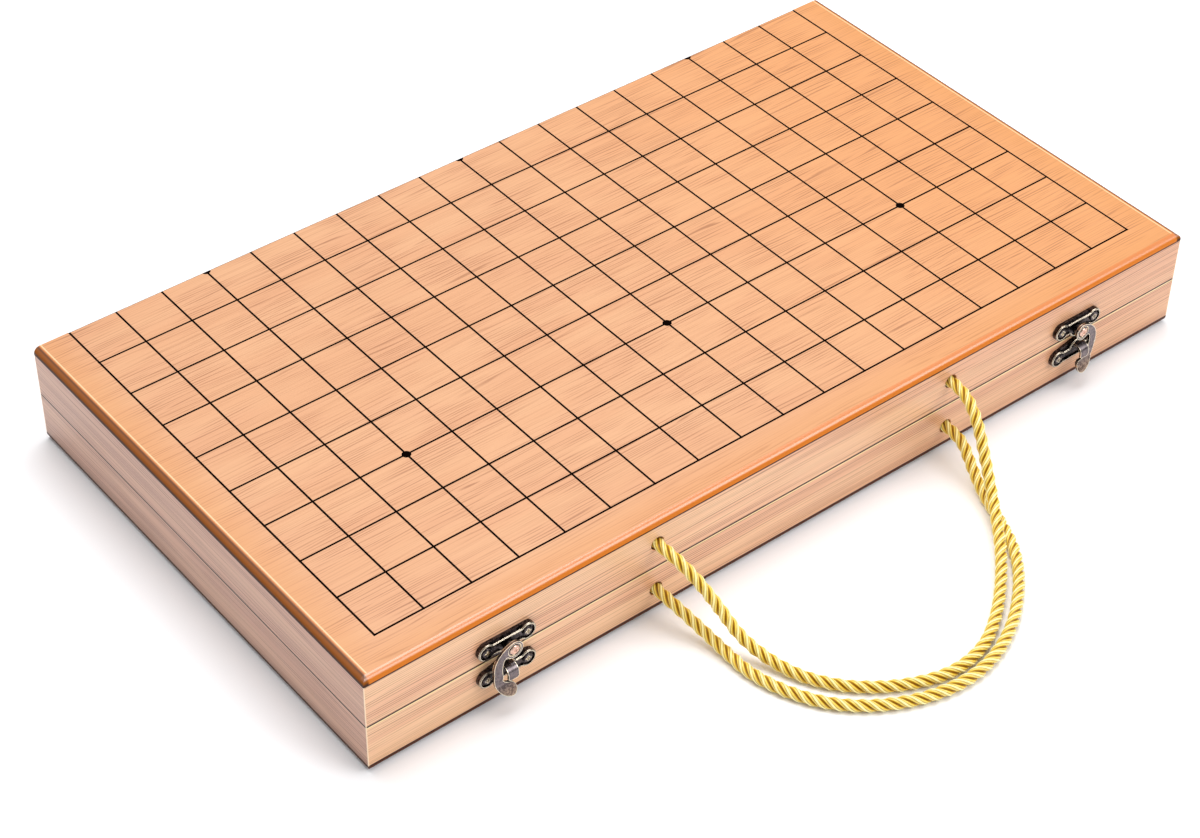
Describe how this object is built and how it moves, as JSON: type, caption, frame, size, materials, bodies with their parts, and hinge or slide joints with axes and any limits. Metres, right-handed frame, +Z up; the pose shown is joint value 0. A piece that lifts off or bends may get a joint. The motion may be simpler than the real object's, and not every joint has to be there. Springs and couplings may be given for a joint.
{
  "type": "folding go set",
  "caption": "Folding wooden go board that closes into a flat case for its stones, with two hook latches, butt hinges and twin rope handles.",
  "frame": {"origin": "middle of the closed case's underside, on the surface that it lies on", "axes": "+X along the long side, to the right seen from the front; +Y from the front, with the latches and ropes, to the hinged back; +Z up through the lid"},
  "size_m": [0.44, 0.3513, 0.05],
  "materials": {
    "board_face": "clear-lacquered orange wood, half gloss, with dark etched grid lines",
    "rails": "straight-grained pinkish beige wood, satin lacquer",
    "inner_wood": "bare light wood",
    "antique_metal": "antiqued plated metal, near black with brassy worn rims",
    "copper_rivet": "dull coppery metal",
    "hinge_metal": "satin brass",
    "gold_rope": "three-strand satin cord, gold",
    "black_stone": "polished opaque black",
    "white_stone": "polished opaque white"
  },
  "bodies": {
    "base": {"base_board": "board_face", "base_front_rail": "rails", "base_back_rail": "rails", "base_left_rail": "rails", "base_right_rail": "rails", "base_divider": "inner_wood", "left_hinge_base_leaf": "hinge_metal", "right_hinge_base_leaf": "hinge_metal", "left_hinge_pin": "hinge_metal", "right_hinge_pin": "hinge_metal", "base_hinge_screws": "hinge_metal", "left_catch_plate": "antique_metal", "right_catch_plate": "antique_metal", "catch_plate_screws": "antique_metal", "base_handle_knots": "gold_rope", "black_stones": "black_stone", "white_stones": "white_stone"},
    "lid": {"lid_board": "board_face", "lid_front_rail": "rails", "lid_back_rail": "rails", "lid_left_rail": "rails", "lid_right_rail": "rails", "lid_divider": "inner_wood", "left_hinge_lid_leaf": "hinge_metal", "right_hinge_lid_leaf": "hinge_metal", "lid_hinge_screws": "hinge_metal", "left_hook_plate": "antique_metal", "right_hook_plate": "antique_metal", "hook_plate_screws": "antique_metal", "left_pivot_rivet": "copper_rivet", "right_pivot_rivet": "copper_rivet", "lid_handle_knots": "gold_rope"},
    "left_hook": {"left_hook": "antique_metal"},
    "right_hook": {"right_hook": "antique_metal"},
    "lid_handle": {"lid_handle_rope": "gold_rope"},
    "base_handle": {"base_handle_rope": "gold_rope"}
  },
  "joints": [
    {"name": "lid_hinge", "type": "hinge", "parent": "base", "child": "lid", "pos_m": [0, 0.12015, 0.025], "axis": [-1, 0, 0], "range_deg": [0, 180]},
    {"name": "left_hook_swing", "type": "hinge", "parent": "lid", "child": "left_hook", "pos_m": [-0.1551, -0.1255, 0.0303], "axis": [0, 1, 0], "range_deg": [-9, 100]},
    {"name": "right_hook_swing", "type": "hinge", "parent": "lid", "child": "right_hook", "pos_m": [0.1551, -0.1255, 0.0303], "axis": [0, -1, 0], "range_deg": [-1, 100]},
    {"name": "lid_handle_swing", "type": "hinge", "parent": "lid", "child": "lid_handle", "pos_m": [0, -0.1235, 0.0375], "axis": [1, 0, 0], "range_deg": [-90, 0]},
    {"name": "base_handle_swing", "type": "hinge", "parent": "base", "child": "base_handle", "pos_m": [0, -0.1235, 0.0125], "axis": [1, 0, 0], "range_deg": [-45, 0]}
  ],
  "couplings": [
    {"joint": "base_handle_swing", "follows": "lid_handle_swing", "ratio": 0.5}
  ]
}
